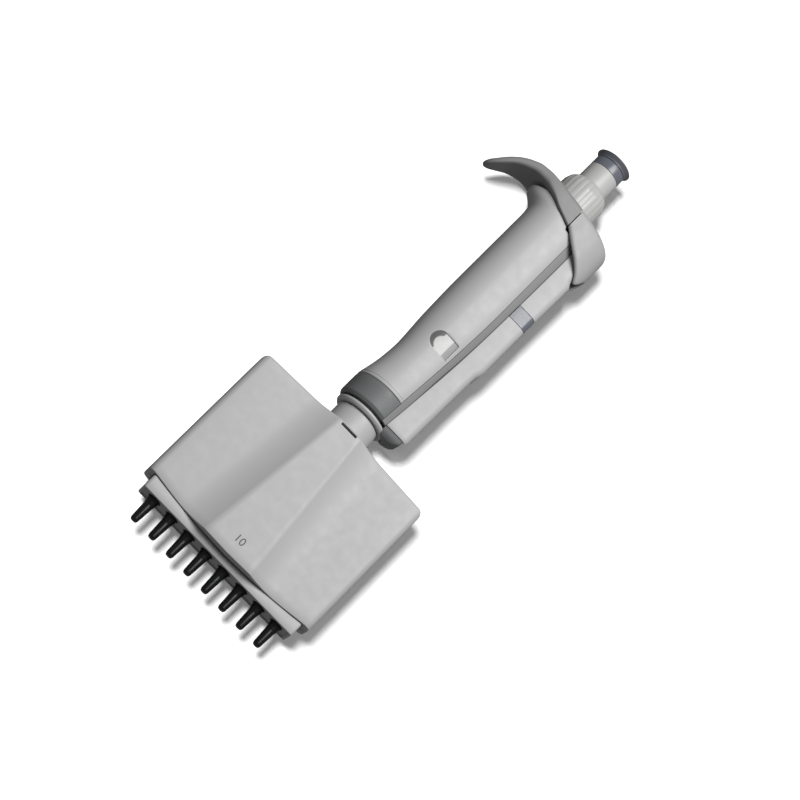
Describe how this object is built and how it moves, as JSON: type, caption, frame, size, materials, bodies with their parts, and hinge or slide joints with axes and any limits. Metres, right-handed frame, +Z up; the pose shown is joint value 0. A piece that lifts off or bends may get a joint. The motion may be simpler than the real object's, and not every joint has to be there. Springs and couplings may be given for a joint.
{
  "type": "multichannel pipette",
  "caption": "Hand pipette with a row of tip cones on a swivelling manifold, finger hook, volume dial, control button and tip ejector.",
  "frame": {"origin": "middle of the underside of the tool lying on its back on a bench, half way between the cone tips and the control button", "axes": "+Y along the tool axis towards the control button, +X along the row of cones towards the ejector button, +Z up out of the front of the tool"},
  "size_m": [0.0824, 0.2356, 0.0256],
  "materials": {
    "pale": "fine moulded grain, satin",
    "grey": "soft matt grey",
    "light_grey": "satin light grey",
    "dark": "matt dark grey",
    "blue_grey": "satin colour band",
    "cap_blue": "satin",
    "knob_white": "satin",
    "inner_white": "plain moulded",
    "cone_black": "polished",
    "counter_black": "matt black with white figures",
    "steel": "ground",
    "clear": "clear moulded window"
  },
  "bodies": {
    "handle": {"handle_shell_front": "pale", "handle_shell_rear": "pale", "lower_band": "dark", "side_rail": "grey", "finger_hook": "grey", "window_lens": "clear", "adjust_plate": "grey", "display_lens": "clear", "inner_frame": "inner_white", "spring_seat": "inner_white", "union_nut": "grey", "primary_spring": "steel", "blowout_spring": "steel", "ejector_spring": "steel"},
    "dial": {"dial_ring": "knob_white", "spindle": "steel"},
    "plunger": {"button_stem": "knob_white", "button_band": "blue_grey", "button_cap": "cap_blue", "plunger_rod": "steel"},
    "ejector": {"ejector_button": "light_grey", "ejector_rod": "pale", "rod_band": "blue_grey", "ejector_foot": "dark", "ejector_ring": "pale"},
    "manifold": {"manifold_cover_front": "pale", "manifold_cover_rear": "pale", "cylinder_block": "inner_white", "neck_tube": "inner_white", "cover_screw_left": "steel", "cover_screw_right": "steel"},
    "carriage": {"piston_bar": "inner_white", "piston_1": "steel", "piston_2": "steel", "piston_3": "steel", "piston_4": "steel", "piston_5": "steel", "piston_6": "steel", "piston_7": "steel", "piston_8": "steel"},
    "stripper": {"stripper_bar": "pale", "stripper_frame": "inner_white", "stripper_sleeve": "pale"},
    "counter_1": {"counter_wheel_1": "counter_black"},
    "counter_2": {"counter_wheel_2": "counter_black"},
    "counter_3": {"counter_wheel_3": "counter_black"},
    "counter_4": {"counter_wheel_4": "counter_black"},
    "cone_1": {"tip_cone_1": "cone_black"},
    "cone_2": {"tip_cone_2": "cone_black"},
    "cone_3": {"tip_cone_3": "cone_black"},
    "cone_4": {"tip_cone_4": "cone_black"},
    "cone_5": {"tip_cone_5": "cone_black"},
    "cone_6": {"tip_cone_6": "cone_black"},
    "cone_7": {"tip_cone_7": "cone_black"},
    "cone_8": {"tip_cone_8": "cone_black"}
  },
  "joints": [
    {"name": "dial_turn", "type": "hinge", "parent": "handle", "child": "dial", "pos_m": [0, 0.0922, 0.0128], "axis": [0, 1, 0], "continuous": true},
    {"name": "plunger_press", "type": "slide", "parent": "dial", "child": "plunger", "axis": [0, -1, 0], "range_m": [0, 0.012], "stiffness_N_per_m": 300, "springref_m": -0.003, "deforming": ["primary_spring", "blowout_spring"]},
    {"name": "manifold_swivel", "type": "hinge", "parent": "handle", "child": "manifold", "pos_m": [0, -0.0228, 0.0128], "axis": [0, 1, 0], "continuous": true},
    {"name": "carriage_travel", "type": "slide", "parent": "manifold", "child": "carriage", "axis": [0, -1, 0], "range_m": [0, 0.012]},
    {"name": "ejector_press", "type": "slide", "parent": "handle", "child": "ejector", "axis": [0, -1, 0], "range_m": [0, 0.0065], "stiffness_N_per_m": 500, "springref_m": -0.003, "deforming": ["ejector_spring"]},
    {"name": "stripper_travel", "type": "slide", "parent": "manifold", "child": "stripper", "axis": [0, -1, 0], "range_m": [0, 0.0065]},
    {"name": "counter_1_turn", "type": "hinge", "parent": "handle", "child": "counter_1", "pos_m": [0, 0.048, 0.0128], "axis": [0, 1, 0], "continuous": true},
    {"name": "counter_2_turn", "type": "hinge", "parent": "handle", "child": "counter_2", "pos_m": [0, 0.053, 0.0128], "axis": [0, 1, 0], "continuous": true},
    {"name": "counter_3_turn", "type": "hinge", "parent": "handle", "child": "counter_3", "pos_m": [0, 0.058, 0.0128], "axis": [0, 1, 0], "continuous": true},
    {"name": "counter_4_turn", "type": "hinge", "parent": "handle", "child": "counter_4", "pos_m": [0, 0.063, 0.0128], "axis": [0, 1, 0], "continuous": true},
    {"name": "cone_1_give", "type": "slide", "parent": "manifold", "child": "cone_1", "axis": [0, 1, 0], "range_m": [0, 0.0025], "stiffness_N_per_m": 1500, "springref_m": -0.001},
    {"name": "cone_2_give", "type": "slide", "parent": "manifold", "child": "cone_2", "axis": [0, 1, 0], "range_m": [0, 0.0025], "stiffness_N_per_m": 1500, "springref_m": -0.001},
    {"name": "cone_3_give", "type": "slide", "parent": "manifold", "child": "cone_3", "axis": [0, 1, 0], "range_m": [0, 0.0025], "stiffness_N_per_m": 1500, "springref_m": -0.001},
    {"name": "cone_4_give", "type": "slide", "parent": "manifold", "child": "cone_4", "axis": [0, 1, 0], "range_m": [0, 0.0025], "stiffness_N_per_m": 1500, "springref_m": -0.001},
    {"name": "cone_5_give", "type": "slide", "parent": "manifold", "child": "cone_5", "axis": [0, 1, 0], "range_m": [0, 0.0025], "stiffness_N_per_m": 1500, "springref_m": -0.001},
    {"name": "cone_6_give", "type": "slide", "parent": "manifold", "child": "cone_6", "axis": [0, 1, 0], "range_m": [0, 0.0025], "stiffness_N_per_m": 1500, "springref_m": -0.001},
    {"name": "cone_7_give", "type": "slide", "parent": "manifold", "child": "cone_7", "axis": [0, 1, 0], "range_m": [0, 0.0025], "stiffness_N_per_m": 1500, "springref_m": -0.001},
    {"name": "cone_8_give", "type": "slide", "parent": "manifold", "child": "cone_8", "axis": [0, 1, 0], "range_m": [0, 0.0025], "stiffness_N_per_m": 1500, "springref_m": -0.001}
  ],
  "couplings": [
    {"joint": "carriage_travel", "follows": "plunger_press", "ratio": 1},
    {"joint": "stripper_travel", "follows": "ejector_press", "ratio": 1},
    {"joint": "counter_1_turn", "follows": "dial_turn", "ratio": 1},
    {"joint": "counter_2_turn", "follows": "dial_turn", "ratio": 0.1},
    {"joint": "counter_3_turn", "follows": "dial_turn", "ratio": 0.01},
    {"joint": "counter_4_turn", "follows": "dial_turn", "ratio": 0.001}
  ]
}
